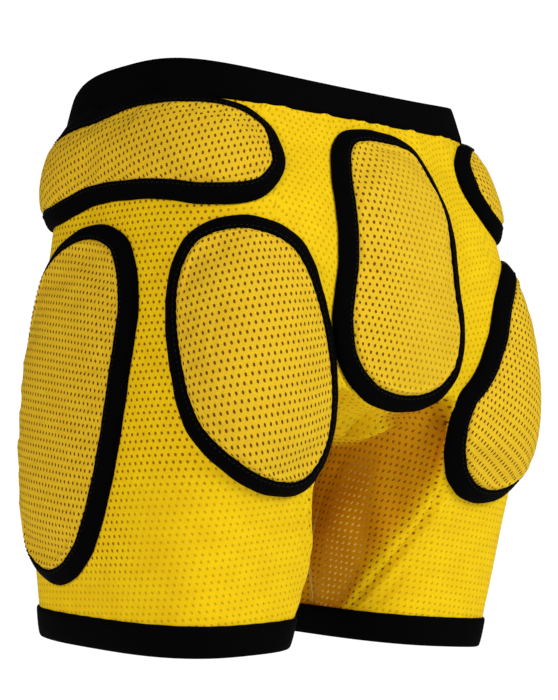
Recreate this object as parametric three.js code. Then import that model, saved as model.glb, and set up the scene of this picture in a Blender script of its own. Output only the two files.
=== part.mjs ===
// Padded impact shorts for skiing and snowboarding: a stretch mesh shell with an elastic
// waistband and elastic hems, and seven moulded foam pads, each under a mesh cover whose edge
// is bound in black. Millimetres. +X is the wearer's left, +Y the wearer's back, +Z up.
// The origin is the centre of the waist opening, level with the waistband's top at the back.
import * as THREE from 'three';

// ---- Driving dimensions ------------------------------------------------------------------

// The worn shape of one half of the shorts, from hem to waist: the height, how far the half
// reaches out to the side, back and front, and where its inner side runs. Above the crotch
// the inner side lies past the centre plane, and the shell is cut off there by its seam.
const LEVELS = [
  { z: -403, side: 164, back: 95, front: 107, inner: 34 },
  { z: -325, side: 179, back: 111, front: 102, inner: 15 },
  { z: -245, side: 180, back: 137, front: 106, inner: 0 },
  { z: -170, side: 175, back: 141, front: 109, inner: -30 },
  { z: -100, side: 170, back: 137, front: 108, inner: -113 },
  { z: -40, side: 161, back: 116, front: 114, inner: -157 },
  { z: 0, side: 147, back: 107, front: 119, inner: -147 },
  { z: 20, side: 141, back: 104, front: 122, inner: -141 },
];
const SQUARENESS = 2.9;          // exponent of the rounded cross-section

const WAIST_SIDE_RISE = 16;      // the waist edge rises at the sides
const WAIST_FRONT_DROP = 32;     // and dips at the front
const WAISTBAND_HEIGHT = 24;     // at the back and the front
const WAISTBAND_SIDE_EXTRA = 7;  // the band is taller at the sides
const HEM_BASE = -403;           // hem edge at the middle of a leg
const HEM_TILT_BACK = 0.07;      // the hem edge drops towards the back
const HEM_TILT_OUT = 0.05;       // and towards the outside
const LEG_CENTRE = 90;
const HEM_HEIGHT = 22;

const SHELL_THICKNESS = 1.5;
const BAND_PROUD = 1.5;          // the bands' outer face stands outside the shell
const CASING_WALL = 1.2;
const ELASTIC_THICKNESS = 1.2;
const CASING_CLEARANCE = 0.6;    // between an elastic and the casing round it
const GAP = 0.3;                 // clearance between touching pieces
const BAND_SEAM = 1;             // between a band and the shell panel sewn to it
const SEAT_SEAM = 1;             // between the seat panel and the flex panel

const FLEX_BOTTOM = -335;        // lower edge of the flexing panel, where the leg panel starts
const SEAT_BOTTOM_BACK = -230;   // lower edge of the seat panel, a little above the crotch
const SEAT_BOTTOM_SIDE = -103;   // over the thigh pad
const SEAT_BOTTOM_FRONT = -215;  // at the front

const PAD_BASE = 3;              // underside of the foam above the shell
const BINDING_WIDTH = 12;
const BINDING_THICKNESS = 1.2;   // of the folded tape
const BINDING_HEIGHT = 7;        // foam height under the binding's inner edge
const FOAM_INSET = 4;            // the foam starts this far inside the binding's edge
const COVER_THICKNESS = 1.2;

// Pad outlines, as the outer edge of the binding. Points are [distance round the body from
// the side line, positive to the back, height]; the tailbone pad's are [offset from the centre
// plane, height] for one half.
const HIP_PAD = {
  crown: 14,
  rings: 6,
  points: 30,
  outline: [[156, -72], [144, -45], [116, -26], [80, -19], [20, -20], [-50, -24], [-104, -43],
    [-127, -67], [-105, -94], [-50, -99], [10, -91], [60, -93], [110, -100], [143, -95]],
};
const THIGH_PAD = {
  crown: 15,
  rings: 4,
  points: 24,
  outline: [[12, -106], [44, -120], [58, -160], [54, -220], [40, -290], [12, -342], [-30, -362],
    [-70, -342], [-87, -280], [-84, -200], [-60, -136], [-25, -111]],
};
const BUTTOCK_PAD = {
  crown: 16,
  rings: 4,
  points: 24,
  outline: [[130, -108], [172, -120], [202, -162], [222, -224], [217, -270], [191, -297],
    [150, -297], [110, -266], [90, -210], [84, -152], [98, -119]],
};
// the right one leans further out at its top
const RIGHT_BUTTOCK_PAD = {
  ...BUTTOCK_PAD,
  outline: [[104, -113], [138, -121], [170, -149], [184, -176], [201, -203], [221, -226],
    [224, -256], [208, -283], [178, -300], [143, -298], [104, -266], [84, -210], [74, -156],
    [82, -126]],
};
const TAILBONE_PAD = {
  crown: 15,
  rings: 3,
  points: 24,
  halfOutline: [[37, -39], [55, -78], [60, -135], [66, -178], [59, -210], [36, -231]],
  top: -31,
  bottom: -239,
};

// ---- Colours -----------------------------------------------------------------------------

const yellowMesh = new THREE.MeshStandardMaterial({ color: 0xf2cc0c, roughness: 0.85 });
const yellowCover = new THREE.MeshStandardMaterial({ color: 0xdcae22, roughness: 0.85 });
const blackKnit = new THREE.MeshStandardMaterial({ color: 0x0b0b0c, roughness: 0.75 });
const blackFoam = new THREE.MeshStandardMaterial({ color: 0x2b2a28, roughness: 0.95 });
const elastic = new THREE.MeshStandardMaterial({ color: 0x1c1c1e, roughness: 0.9 });

const shorts = new THREE.Group();

// ---- The worn surface --------------------------------------------------------------------

const levelCurves = {};
for (const key of ['side', 'back', 'front', 'inner']) {
  levelCurves[key] = LEVELS.map((level) => [level.z, level[key]]);
}

// A smooth curve through [place, value] points, with cubic pieces between them.
function smooth(points, at) {
  const last = points.length - 1;
  let k = 0;
  while (k < last - 1 && at > points[k + 1][0]) k += 1;
  const slope = (i) => (points[i + 1][1] - points[i][1]) / (points[i + 1][0] - points[i][0]);
  const step = (i) => points[i + 1][0] - points[i][0];
  const inside = (i) => (slope(i - 1) * step(i) + slope(i) * step(i - 1)) / (step(i) + step(i - 1));
  const tangent = (i) => {
    if (i === 0) return 1.5 * slope(0) - 0.5 * inside(1);
    if (i === last) return 1.5 * slope(last - 1) - 0.5 * inside(last - 1);
    return inside(i);
  };
  const h = step(k);
  const t = (at - points[k][0]) / h;
  const t2 = t * t;
  const t3 = t2 * t;
  return (2 * t3 - 3 * t2 + 1) * points[k][1] + (t3 - 2 * t2 + t) * h * tangent(k)
    + (3 * t2 - 2 * t3) * points[k + 1][1] + (t3 - t2) * h * tangent(k + 1);
}

// A point of the left half's cross-section at height z. The turn runs from the front centre
// (0) over the outer side (a quarter) to the back (a half) and on to the inner side.
function sectionPoint(turn, z) {
  const side = smooth(levelCurves.side, z);
  const inner = smooth(levelCurves.inner, z);
  const angle = turn * 2 * Math.PI;
  const power = 2 / SQUARENESS;
  const acrossSize = Math.abs(Math.sin(angle)) ** power;
  const depthSize = Math.abs(Math.cos(angle)) ** power;
  const x = (side + inner) / 2 + ((side - inner) / 2) * Math.sign(Math.sin(angle)) * acrossSize;
  const facesFront = Math.cos(angle) > 0;
  const depth = facesFront ? -smooth(levelCurves.front, z) : smooth(levelCurves.back, z);
  return [x, depth * depthSize];
}

// The cross-section as a list of points with their distance round the body from the side
// line, kept to the left half.
const SECTION_STEPS = 720;
const sections = new Map();
function section(z) {
  if (sections.has(z)) return sections.get(z);
  const points = [];
  let round = 0;
  let previous = null;
  for (let i = 0; i <= SECTION_STEPS; i += 1) {
    const turn = -0.25 + i / SECTION_STEPS;
    const [x, y] = sectionPoint(turn, z);
    if (previous) round += Math.hypot(x - previous[0], y - previous[1]);
    previous = [x, y];
    points.push({ round, x, y, turn });
  }
  const sideLine = points[SECTION_STEPS / 2].round;
  for (const point of points) point.round -= sideLine;
  const kept = points.filter((point) => point.x >= 0);
  const found = { points, front: kept[0].round, back: kept[kept.length - 1].round };
  sections.set(z, found);
  return found;
}

// The point at a distance round the body and a height, on the left half.
function worn(round, z) {
  const { points } = section(z);
  let low = 0;
  let high = points.length - 1;
  while (high - low > 1) {
    const middle = (low + high) >> 1;
    if (points[middle].round > round) high = middle;
    else low = middle;
  }
  const a = points[low];
  const b = points[high];
  const t = Math.min(Math.max((round - a.round) / (b.round - a.round || 1), 0), 1);
  return new THREE.Vector3(a.x + (b.x - a.x) * t, a.y + (b.y - a.y) * t, z);
}

// The tailbone pad spans the hollow between the buttocks, so it follows this flatter surface.
function bridged(x, z) {
  const side = smooth(levelCurves.side, z);
  const inner = smooth(levelCurves.inner, z);
  const centre = Math.max((side + inner) / 2, 0);
  const across = Math.max(Math.abs(x) - centre, 0) / ((side - inner) / 2);
  const depth = (1 - across ** SQUARENESS) ** (1 / SQUARENESS);
  return new THREE.Vector3(x, smooth(levelCurves.back, z) * depth, z);
}

// A point raised off a surface along its outward normal.
function raised(surface, u, z, height) {
  const step = 2;
  const point = surface(u, z);
  const alongRound = surface(u + step, z).sub(surface(u - step, z));
  const upward = surface(u, z + step).sub(surface(u, z - step));
  const normal = alongRound.cross(upward).normalize();
  if (surface === bridged) normal.negate();
  return point.addScaledVector(normal, height);
}

// ---- Building closed bodies --------------------------------------------------------------

function addBody(name, positions, triangles, material, mirrored = false) {
  const numbers = [];
  for (const point of positions) numbers.push(mirrored ? -point.x : point.x, point.y, point.z);
  const index = [];
  for (const [a, b, c] of triangles) index.push(a, mirrored ? b : c, mirrored ? c : b);
  const geometry = new THREE.BufferGeometry();
  geometry.setAttribute('position', new THREE.Float32BufferAttribute(numbers, 3));
  geometry.setIndex(index);
  geometry.computeVertexNormals();
  const mesh = new THREE.Mesh(geometry, material);
  mesh.name = name;
  shorts.add(mesh);
}

// Both halves of a piece: the right one is the left one's mirror image.
function addPair(name, build, material) {
  const { positions, triangles } = build();
  addBody(`left_${name}`, positions, triangles, material);
  addBody(`right_${name}`, positions, triangles, material, true);
}

// A closed body from a ring of equal cross-sections, each a loop of points.
function ringBody(loops) {
  const positions = loops.flat();
  const size = loops[0].length;
  const triangles = [];
  for (let i = 0; i < loops.length; i += 1) {
    const next = (i + 1) % loops.length;
    for (let k = 0; k < size; k += 1) {
      const up = (k + 1) % size;
      triangles.push([i * size + k, next * size + k, next * size + up]);
      triangles.push([i * size + k, next * size + up, i * size + up]);
    }
  }
  return { positions, triangles };
}

// A closed body from two matching grids of points, an outer and an inner face.
function sheetBody(outer, inner) {
  const rows = outer.length;
  const columns = outer[0].length;
  const positions = [...outer.flat(), ...inner.flat()];
  const half = rows * columns;
  const at = (row, column) => row * columns + column;
  const triangles = [];
  const quad = (a, b, c, d) => triangles.push([a, b, c], [a, c, d]);
  for (let r = 0; r < rows - 1; r += 1) {
    for (let c = 0; c < columns - 1; c += 1) {
      quad(at(r, c), at(r, c + 1), at(r + 1, c + 1), at(r + 1, c));
      quad(half + at(r, c), half + at(r + 1, c), half + at(r + 1, c + 1), half + at(r, c + 1));
    }
  }
  for (let c = 0; c < columns - 1; c += 1) {
    quad(at(0, c), half + at(0, c), half + at(0, c + 1), at(0, c + 1));
    quad(at(rows - 1, c + 1), half + at(rows - 1, c + 1), half + at(rows - 1, c), at(rows - 1, c));
  }
  for (let r = 0; r < rows - 1; r += 1) {
    quad(at(r + 1, 0), half + at(r + 1, 0), half + at(r, 0), at(r, 0));
    quad(at(r, columns - 1), half + at(r, columns - 1), half + at(r + 1, columns - 1),
      at(r + 1, columns - 1));
  }
  return { positions, triangles };
}

// A closed lens from rings that shrink to a centre above and below. The outermost ring of
// both sides is the same when `edge` is given, or the two are joined by a wall.
function lensBody(top, topCentre, bottom, bottomCentre, sharedEdge) {
  const count = top[0].length;
  const positions = [...top.flat(), topCentre];
  const triangles = [];
  const joinRings = (a, b, flip) => {
    for (let k = 0; k < count; k += 1) {
      const n = (k + 1) % count;
      const quads = [[a + k, a + n, b + n], [a + k, b + n, b + k]];
      for (const [p, q, r] of quads) triangles.push(flip ? [p, r, q] : [p, q, r]);
    }
  };
  const joinCentre = (a, centre, flip) => {
    for (let k = 0; k < count; k += 1) {
      const n = (k + 1) % count;
      triangles.push(flip ? [a + k, centre, a + n] : [a + k, a + n, centre]);
    }
  };
  for (let i = 0; i < top.length - 1; i += 1) joinRings(i * count, (i + 1) * count, false);
  joinCentre((top.length - 1) * count, positions.length - 1, false);
  const lowerStart = positions.length;
  positions.push(...bottom.flat(), bottomCentre);
  const firstLower = sharedEdge ? 0 : lowerStart;
  const ringAt = (i) => lowerStart + i * count;
  if (sharedEdge) joinRings(firstLower, ringAt(0), true);
  else joinRings(0, ringAt(0), true);
  for (let i = 0; i < bottom.length - 1; i += 1) joinRings(ringAt(i), ringAt(i + 1), true);
  joinCentre(ringAt(bottom.length - 1), positions.length - 1, true);
  return { positions, triangles };
}

// ---- Edges of the worn shape -------------------------------------------------------------

// Height of the waist edge at a turn of the section: level at the back, high at the sides and
// low at the front.
function waistEdge(turn) {
  const facing = Math.cos(turn * 2 * Math.PI);
  const end = facing > 0 ? -WAIST_FRONT_DROP : 0;
  return WAIST_SIDE_RISE + (end - WAIST_SIDE_RISE) * facing * facing;
}

function hemEdge(x, y) {
  return HEM_BASE - HEM_TILT_BACK * y - HEM_TILT_OUT * (x - LEG_CENTRE);
}

// A column of the shell: a share of the way from the centre back to the centre front.
function columnPoint(share, z, height) {
  const { back, front } = section(z);
  const inset = 0.4;
  const round = THREE.MathUtils.lerp(back - inset, front + inset, share);
  const point = raised(worn, round, z, height);
  point.x = Math.max(point.x, GAP / 2);
  return point;
}

// The turn of the section at a column of the shell.
function columnTurn(share, z) {
  const { back, front, points } = section(z);
  const round = THREE.MathUtils.lerp(back, front, share);
  let nearest = points[0];
  for (const point of points) {
    if (Math.abs(point.round - round) < Math.abs(nearest.round - round)) nearest = point;
  }
  return nearest.turn;
}

function columnWaistEdge(share) {
  let z = 0;
  for (let i = 0; i < 4; i += 1) z = waistEdge(columnTurn(share, z));
  return z;
}

function waistbandHeight(share) {
  const facing = Math.sin(columnTurn(share, 0) * 2 * Math.PI);
  return WAISTBAND_HEIGHT + WAISTBAND_SIDE_EXTRA * facing * facing;
}

function columnHemEdge(share) {
  let z = HEM_BASE;
  for (let i = 0; i < 4; i += 1) {
    const point = columnPoint(share, z, 0);
    z = hemEdge(point.x, point.y);
  }
  return z;
}

// The lower edge of the seat panel: low at the back, high over the thigh pad at the side, and
// cut like a brief's leg line at the front.
const SEAT_EDGE = [
  [0, SEAT_BOTTOM_BACK], [0.22, SEAT_BOTTOM_BACK], [0.34, -205], [0.43, SEAT_BOTTOM_SIDE],
  [0.68, SEAT_BOTTOM_SIDE], [0.8, -145], [0.92, -198], [1, SEAT_BOTTOM_FRONT],
];
const SHELL_GIRTH = 600;         // from the centre back to the centre front, about the seat
function seatEdgeSpan(share) {
  let k = 0;
  while (k < SEAT_EDGE.length - 2 && share > SEAT_EDGE[k + 1][0]) k += 1;
  return [...SEAT_EDGE[k], ...SEAT_EDGE[k + 1]];
}
function seatEdge(share) {
  const [from, low, to, high] = seatEdgeSpan(share);
  return THREE.MathUtils.lerp(low, high, (share - from) / (to - from));
}

// The seam keeps the same clearance across it where the edge runs steeply.
function seatSeam(share) {
  const [from, low, to, high] = seatEdgeSpan(share);
  const steepness = (high - low) / ((to - from) * SHELL_GIRTH);
  return seatEdge(share) + SEAT_SEAM * Math.hypot(1, steepness);
}

// ---- Shell panels ------------------------------------------------------------------------

const SHELL_COLUMNS = 28;

function panel(bottomOf, topOf, rows) {
  return () => {
    const outer = [];
    const inner = [];
    for (let r = 0; r <= rows; r += 1) {
      outer.push([]);
      inner.push([]);
      for (let c = 0; c <= SHELL_COLUMNS; c += 1) {
        const share = c / SHELL_COLUMNS;
        const z = THREE.MathUtils.lerp(bottomOf(share), topOf(share), r / rows);
        outer[r].push(columnPoint(share, z, 0));
        inner[r].push(columnPoint(share, z, -SHELL_THICKNESS));
      }
    }
    return sheetBody(outer, inner);
  };
}

const waistSeam = (share) => columnWaistEdge(share) - waistbandHeight(share) - BAND_SEAM;
const hemSeam = (share) => columnHemEdge(share) + HEM_HEIGHT + BAND_SEAM;

addPair('seat_panel', panel(seatSeam, waistSeam, 8), yellowMesh);
addPair('flex_panel', panel(() => FLEX_BOTTOM + GAP, seatEdge, 5), yellowMesh);
addPair('leg_panel', panel(hemSeam, () => FLEX_BOTTOM, 1), yellowMesh);

// ---- Waistband and hems ------------------------------------------------------------------

// The folded casing round an elastic, as the loop of its cross-section: an outer wall, a fold
// at the free edge and an inner wall, open towards the shell.
const BAND_INNER = BAND_PROUD - 2 * CASING_WALL - 2 * CASING_CLEARANCE - ELASTIC_THICKNESS;
function casingProfile(free, seam, fold) {
  const outerFace = BAND_PROUD;
  const outerWall = BAND_PROUD - CASING_WALL;
  const innerWall = BAND_INNER + CASING_WALL;
  return [[outerFace, seam], [outerFace, free], [BAND_INNER, free], [BAND_INNER, seam],
    [innerWall, seam], [innerWall, fold], [outerWall, fold], [outerWall, seam]];
}
function elasticProfile(seam, fold) {
  const outerFace = BAND_PROUD - CASING_WALL - CASING_CLEARANCE;
  const innerFace = outerFace - ELASTIC_THICKNESS;
  return [[outerFace, seam], [outerFace, fold], [innerFace, fold], [innerFace, seam]];
}

function waistLoops(profileOf) {
  const half = [];
  for (let i = 0; i <= SHELL_COLUMNS; i += 1) {
    const share = i / SHELL_COLUMNS;
    const edge = columnWaistEdge(share);
    half.push(profileOf(edge, edge - waistbandHeight(share)).map(([height, z]) => {
      const { back, front } = section(z);
      const point = raised(worn, THREE.MathUtils.lerp(back, front, share), z, height);
      if (i === 0 || i === SHELL_COLUMNS) point.x = 0;
      return point;
    }));
  }
  const otherHalf = half.slice(1, -1).reverse();
  const mirrored = otherHalf.map((loop) => loop.map((p) => new THREE.Vector3(-p.x, p.y, p.z)));
  return ringBody([...half, ...mirrored]);
}

function flipped({ positions, triangles }) {
  return { positions, triangles: triangles.map(([a, b, c]) => [a, c, b]) };
}

function addWaist(name, profileOf, material) {
  const { positions, triangles } = waistLoops(profileOf);
  addBody(name, positions, triangles, material);
}
addWaist('waistband_cover', (edge, seam) => casingProfile(edge, seam, edge - CASING_WALL),
  blackKnit);
addWaist('waistband_elastic', (edge, seam) => elasticProfile(seam + 2,
  edge - CASING_WALL - 2 * CASING_CLEARANCE), elastic);

function hemLoops(profileOf) {
  const loops = [];
  for (let i = 0; i < SHELL_COLUMNS; i += 1) {
    const share = i / SHELL_COLUMNS;
    const place = (z) => {
      const { back, front } = section(z);
      return THREE.MathUtils.lerp(back, front, share);
    };
    let edge = HEM_BASE;
    for (let k = 0; k < 4; k += 1) {
      const point = worn(place(edge), edge);
      edge = hemEdge(point.x, point.y);
    }
    loops.push(profileOf(edge).map(([height, z]) => raised(worn, place(z), z, height)));
  }
  return flipped(ringBody(loops));
}

addPair('hem_band', () => hemLoops((edge) => casingProfile(edge, edge + HEM_HEIGHT,
  edge + CASING_WALL)), blackKnit);
addPair('hem_elastic', () => hemLoops((edge) => elasticProfile(edge + HEM_HEIGHT - 2,
  edge + CASING_WALL + 2 * CASING_CLEARANCE)), elastic);

// ---- Pads --------------------------------------------------------------------------------

// A pad's plan: rings of [u, z] places from its outline inwards.
function padPlan(outline, count) {
  const knots = outline.map(([u, z]) => new THREE.Vector3(u, z, 0));
  const curve = new THREE.CatmullRomCurve3(knots, true, 'centripetal');
  const rim = curve.getSpacedPoints(count).slice(0, count);
  const centre = rim.reduce((sum, p) => sum.add(p), new THREE.Vector3());
  centre.divideScalar(count);
  const inset = (distance) => rim.map((p, i) => {
    const before = rim[(i + count - 1) % count];
    const after = rim[(i + 1) % count];
    const along = after.clone().sub(before).normalize();
    const inward = new THREE.Vector3(along.y, -along.x, 0);
    if (inward.dot(centre.clone().sub(p)) < 0) inward.negate();
    return p.clone().addScaledVector(inward, distance);
  });
  const shrink = (ring, share) => ring.map((p) => centre.clone().lerp(p, share));
  const area = THREE.ShapeUtils.area(rim.map((p) => new THREE.Vector2(p.x, p.y)));
  return { centre, inset, shrink, clockwise: area < 0 };
}

// Height of the foam over the shell inside the binding: steep at the edge, flat at the crown.
function domeHeight(share, crown) {
  return BINDING_HEIGHT + (crown - BINDING_HEIGHT) * (1 - share ** 2.6);
}

function addPad(name, surface, { outline, crown, rings, points }, mirrored) {
  const plan = padPlan(outline, points);
  const shares = Array.from({ length: rings }, (_, i) => 1 - i / rings);
  const lift = (ring, height) => ring.map((p) => raised(surface, p.x, p.y, height));
  const liftCentre = (height) => raised(surface, plan.centre.x, plan.centre.y, height);
  const inner = plan.inset(BINDING_WIDTH);
  const dome = (extra) => shares.map(
    (share) => lift(plan.shrink(inner, share), domeHeight(share, crown) + extra),
  );
  const flipNeeded = plan.clockwise === (surface === bridged);
  const facing = (body) => (flipNeeded ? flipped(body) : body);
  const add = (suffix, body, material) => {
    const { positions, triangles } = facing(body);
    addBody(`${name}_${suffix}`, positions, triangles, material, mirrored);
  };
  const crownTop = domeHeight(0, crown);

  const foamEdge = lift(plan.inset(FOAM_INSET), PAD_BASE);
  const foamBottom = shares.map((share) => lift(plan.shrink(inner, share), PAD_BASE));
  add('foam', lensBody([foamEdge, ...dome(0)], liftCentre(crownTop), foamBottom,
    liftCentre(PAD_BASE), true), blackFoam);

  add('cover', lensBody(dome(GAP + COVER_THICKNESS), liftCentre(crownTop + GAP + COVER_THICKNESS),
    dome(GAP), liftCentre(crownTop + GAP), false), yellowCover);

  const toe = lift(plan.inset(0), PAD_BASE);
  const toeTop = lift(plan.inset(0), PAD_BASE + BINDING_THICKNESS);
  const shoulder = plan.inset(BINDING_WIDTH - 2 * GAP);
  const over = lift(shoulder, BINDING_HEIGHT + 2 * GAP + BINDING_THICKNESS);
  const under = lift(shoulder, BINDING_HEIGHT + 2 * GAP);
  add('binding', ringBody(toe.map((p, i) => [p, toeTop[i], over[i], under[i]])), blackKnit);
}

for (const [side, mirrored, buttockPad] of [
  ['left', false, BUTTOCK_PAD], ['right', true, RIGHT_BUTTOCK_PAD]]) {
  addPad(`${side}_hip_pad`, worn, HIP_PAD, mirrored);
  addPad(`${side}_thigh_pad`, worn, THIGH_PAD, mirrored);
  addPad(`${side}_buttock_pad`, worn, buttockPad, mirrored);
}
const tailboneHalf = TAILBONE_PAD.halfOutline;
const tailboneOutline = [[0, TAILBONE_PAD.top], ...tailboneHalf, [0, TAILBONE_PAD.bottom],
  ...tailboneHalf.map(([x, z]) => [-x, z]).reverse()];
addPad('tailbone_pad', bridged, { ...TAILBONE_PAD, outline: tailboneOutline }, false);

export default shorts;
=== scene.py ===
"""Looks of the padded impact shorts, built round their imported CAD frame.

Lengths are in millimetres until a mesh is made, in the frame's axes: +X is the wearer's left, +Y
the back, +Z up. A place on the worn surface is (s, z): the distance round the body from the side
line, positive towards the back, and the height. Shapes are worked out for the left half.
"""

import math
from functools import partial

import bpy
import numpy as np
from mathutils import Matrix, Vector, geometry


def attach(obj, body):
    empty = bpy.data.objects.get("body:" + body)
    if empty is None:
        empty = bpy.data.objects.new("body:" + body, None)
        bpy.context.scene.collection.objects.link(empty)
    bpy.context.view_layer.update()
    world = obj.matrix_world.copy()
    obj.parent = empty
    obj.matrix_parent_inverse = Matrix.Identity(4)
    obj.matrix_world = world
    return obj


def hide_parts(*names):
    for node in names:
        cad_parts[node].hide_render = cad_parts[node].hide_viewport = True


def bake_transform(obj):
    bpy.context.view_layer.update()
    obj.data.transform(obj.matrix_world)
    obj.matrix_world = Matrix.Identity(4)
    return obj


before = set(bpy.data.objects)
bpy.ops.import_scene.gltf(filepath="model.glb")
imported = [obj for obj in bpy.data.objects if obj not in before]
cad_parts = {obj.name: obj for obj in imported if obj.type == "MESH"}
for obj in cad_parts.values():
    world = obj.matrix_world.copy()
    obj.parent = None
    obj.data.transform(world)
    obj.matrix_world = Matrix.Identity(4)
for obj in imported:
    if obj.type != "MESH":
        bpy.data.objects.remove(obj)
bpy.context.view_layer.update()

MM = 0.001

# ---- Driving dimensions, as in the CAD part ----

# height, reach to the side, back and front, and where the inner side of the half runs
LEVELS = np.array([
    (-403, 164, 95, 107, 34),
    (-325, 179, 111, 102, 15),
    (-245, 180, 137, 106, 0),
    (-170, 175, 141, 109, -30),
    (-100, 170, 137, 108, -113),
    (-40, 161, 116, 114, -157),
    (0, 147, 107, 119, -147),
    (20, 141, 104, 122, -141),
], float)
SIDE, BACK, FRONT, INNER = 1, 2, 3, 4
SQUARENESS = 2.9
CROTCH_Z = -245

WAIST_SIDE_RISE = 16
WAIST_FRONT_DROP = 32
WAISTBAND_HEIGHT = 24
WAISTBAND_SIDE_EXTRA = 7
HEM_BASE = -403
HEM_TILT_BACK = 0.07
HEM_TILT_OUT = 0.05
LEG_CENTRE = 90
HEM_HEIGHT = 22

HIP_OUTLINE = [(156, -72), (144, -45), (116, -26), (80, -19), (20, -20), (-50, -24), (-104, -43),
               (-127, -67), (-105, -94), (-50, -99), (10, -91), (60, -93), (110, -100), (143, -95)]
THIGH_OUTLINE = [(12, -106), (44, -120), (58, -160), (54, -220), (40, -290), (12, -342),
                 (-30, -362), (-70, -342), (-87, -280), (-84, -200), (-60, -136), (-25, -111)]
BUTTOCK_OUTLINE = [(130, -108), (172, -120), (202, -162), (222, -224), (217, -270), (191, -297),
                   (150, -297), (110, -266), (90, -210), (84, -152), (98, -119)]
RIGHT_BUTTOCK_OUTLINE = [(104, -113), (138, -121), (170, -149), (184, -176), (201, -203),
                         (221, -226), (224, -256), (208, -283), (178, -300), (143, -298),
                         (104, -266), (84, -210), (74, -156), (82, -126)]
TAILBONE_HALF = [(37, -39), (55, -78), (60, -135), (66, -178), (59, -210), (36, -231)]
TAILBONE_OUTLINE = ([(0, -31)] + TAILBONE_HALF + [(0, -239)]
                    + [(-x, z) for x, z in reversed(TAILBONE_HALF)])

# ---- The worn surface ----


def unit(vectors):
    length = np.linalg.norm(vectors, axis=-1, keepdims=True)
    return vectors / np.maximum(length, 1e-9)


def bilinear(table, row, column):
    """Values between a table's cells, at fractional row and column numbers."""
    row = np.clip(row, 0, table.shape[0] - 1.001)
    column = np.clip(column, 0, table.shape[1] - 1.001)
    i, j = row.astype(int), column.astype(int)
    a, b = row - i, column - j
    if table.ndim == 3:
        a, b = a[..., None], b[..., None]
    return ((1 - a) * ((1 - b) * table[i, j] + b * table[i, j + 1])
            + a * ((1 - b) * table[i + 1, j] + b * table[i + 1, j + 1]))


def smooth(key, at):
    """A level's value at any height, by cubic pieces between the levels."""
    z, value = LEVELS[:, 0], LEVELS[:, key]
    step = np.diff(z)
    slope = np.diff(value) / step
    inside = (slope[:-1] * step[1:] + slope[1:] * step[:-1]) / (step[1:] + step[:-1])
    first = 1.5 * slope[0] - 0.5 * inside[0]
    last = 1.5 * slope[-1] - 0.5 * inside[-1]
    tangent = np.concatenate([[first], inside, [last]])
    k = np.clip(np.searchsorted(z, at) - 1, 0, len(step) - 1)
    h = step[k]
    t = (at - z[k]) / h
    t2, t3 = t * t, t * t * t
    return ((2 * t3 - 3 * t2 + 1) * value[k] + (t3 - 2 * t2 + t) * h * tangent[k]
            + (3 * t2 - 2 * t3) * value[k + 1] + (t3 - t2) * h * tangent[k + 1])


TABLE_STEP = 2.0
TABLE_Z = np.arange(-432, 42, TABLE_STEP)
TABLE_ROUND = np.arange(-440, 500, TABLE_STEP)
TURNS = np.linspace(-0.25, 0.75, 1441)


def section_tables():
    """x, y and turn over height and distance round the body, and each height's two ends."""
    angle = TURNS * 2 * math.pi
    power = 2 / SQUARENESS
    across = np.sign(np.sin(angle)) * np.abs(np.sin(angle)) ** power
    depth = np.abs(np.cos(angle)) ** power
    facing_front = np.cos(angle) > 0
    xs, ys, turns, fronts, backs = [], [], [], [], []
    for z in TABLE_Z:
        side, inner = smooth(SIDE, z), smooth(INNER, z)
        x = (side + inner) / 2 + (side - inner) / 2 * across
        y = np.where(facing_front, -smooth(FRONT, z), smooth(BACK, z)) * depth
        travelled = np.concatenate([[0], np.cumsum(np.hypot(np.diff(x), np.diff(y)))])
        travelled -= travelled[len(TURNS) // 2]
        xs.append(np.interp(TABLE_ROUND, travelled, x))
        ys.append(np.interp(TABLE_ROUND, travelled, y))
        turns.append(np.interp(TABLE_ROUND, travelled, TURNS))
        half = len(TURNS) // 2
        fronts.append(np.interp(0, x[:half], travelled[:half]))
        backs.append(np.interp(0, -x[half:], travelled[half:]))
    return [np.array(a) for a in (xs, ys, turns, fronts, backs)]


TABLE_X, TABLE_Y, TABLE_TURN, FRONT_END, BACK_END = section_tables()


def surface_normals():
    along = np.stack([np.gradient(TABLE_X, axis=1), np.gradient(TABLE_Y, axis=1),
                      np.zeros_like(TABLE_X)], -1)
    up = np.stack([np.gradient(TABLE_X, axis=0), np.gradient(TABLE_Y, axis=0),
                   np.full_like(TABLE_X, TABLE_STEP)], -1)
    return unit(np.cross(along, up))


TABLE_NORMAL = surface_normals()


def look_up(table, s, z):
    """A section table's values at (s, z)."""
    row = (np.asarray(z, float) - TABLE_Z[0]) / TABLE_STEP
    column = (np.asarray(s, float) - TABLE_ROUND[0]) / TABLE_STEP
    return bilinear(table, row, column)


def worn(s, z, height=0.0):
    """Points of the left half's worn surface, raised off it by a height."""
    s, z = np.broadcast_arrays(np.asarray(s, float), np.asarray(z, float))
    normal = unit(look_up(TABLE_NORMAL, s, z))
    point = np.stack([look_up(TABLE_X, s, z), look_up(TABLE_Y, s, z), z], -1)
    return point + normal * np.asarray(height, float)[..., None]


def bridged_point(x, z):
    side, inner = smooth(SIDE, z), smooth(INNER, z)
    centre = np.maximum((side + inner) / 2, 0)
    across = np.maximum(np.abs(x) - centre, 0) / ((side - inner) / 2)
    depth = np.maximum(1 - across ** SQUARENESS, 0) ** (1 / SQUARENESS)
    return np.stack([x, smooth(BACK, z) * depth, z], -1)


def bridged(x, z, height=0.0):
    """Points of the flatter surface that spans the hollow between the buttocks."""
    x, z = np.broadcast_arrays(np.asarray(x, float), np.asarray(z, float))
    along = bridged_point(x + TABLE_STEP, z) - bridged_point(x - TABLE_STEP, z)
    up = bridged_point(x, z + TABLE_STEP) - bridged_point(x, z - TABLE_STEP)
    return bridged_point(x, z) + unit(np.cross(up, along)) * np.asarray(height, float)[..., None]


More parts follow.
